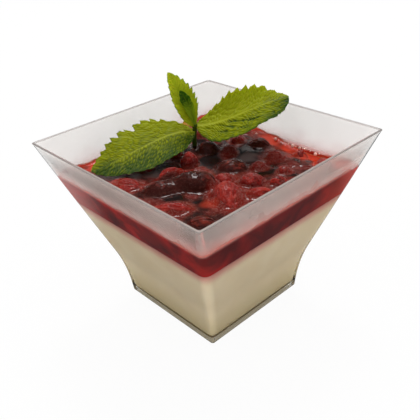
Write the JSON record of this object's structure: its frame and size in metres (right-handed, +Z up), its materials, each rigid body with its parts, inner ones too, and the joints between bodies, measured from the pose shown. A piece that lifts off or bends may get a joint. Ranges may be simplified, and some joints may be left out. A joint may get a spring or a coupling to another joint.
{
  "type": "coconut panna cotta cup",
  "caption": "Square flared clear cup holding set coconut cream under a dark berry and cherry compote, with a sprig of mint standing in it.",
  "frame": {"origin": "centre of the cup's foot, on the surface that it stands on", "axes": "+Z up, +X and +Y along the sides of the square cup"},
  "size_m": [0.08, 0.08, 0.0762],
  "materials": {
    "clear_plastic": "clear, moulded, glossy",
    "coconut_cream": "smooth set cream, soft sheen",
    "berry_jelly": "glossy wet jelly",
    "cherry_skin": "glazed dark skin",
    "fruit_flesh": "glazed soft flesh",
    "berry_skin": "glazed red skin",
    "mint_leaf": "fresh veined leaf, satin"
  },
  "bodies": {
    "root": {"cup": "clear_plastic", "panna_cotta": "coconut_cream", "berry_sauce": "berry_jelly", "cherry_1": "cherry_skin", "cherry_2": "cherry_skin", "cherry_3": "cherry_skin", "cherry_4": "cherry_skin", "cherry_5": "cherry_skin", "cherry_6": "cherry_skin", "cherry_7": "cherry_skin", "cherry_8": "cherry_skin", "cherry_9": "cherry_skin", "fruit_piece_1": "fruit_flesh", "fruit_piece_2": "fruit_flesh", "fruit_piece_3": "fruit_flesh", "fruit_piece_4": "fruit_flesh", "fruit_piece_5": "fruit_flesh", "fruit_piece_6": "fruit_flesh", "fruit_piece_7": "fruit_flesh", "fruit_piece_8": "fruit_flesh", "fruit_piece_9": "fruit_flesh", "red_berry_1": "berry_skin", "red_berry_2": "berry_skin", "red_berry_3": "berry_skin", "red_berry_4": "berry_skin", "red_berry_5": "berry_skin", "red_berry_6": "berry_skin", "red_berry_7": "berry_skin", "red_berry_8": "berry_skin", "red_berry_9": "berry_skin", "red_berry_10": "berry_skin", "red_berry_11": "berry_skin", "red_berry_12": "berry_skin", "red_berry_13": "berry_skin", "red_berry_14": "berry_skin", "red_berry_15": "berry_skin", "mint_sprig": "mint_leaf"}
  },
  "joints": []
}
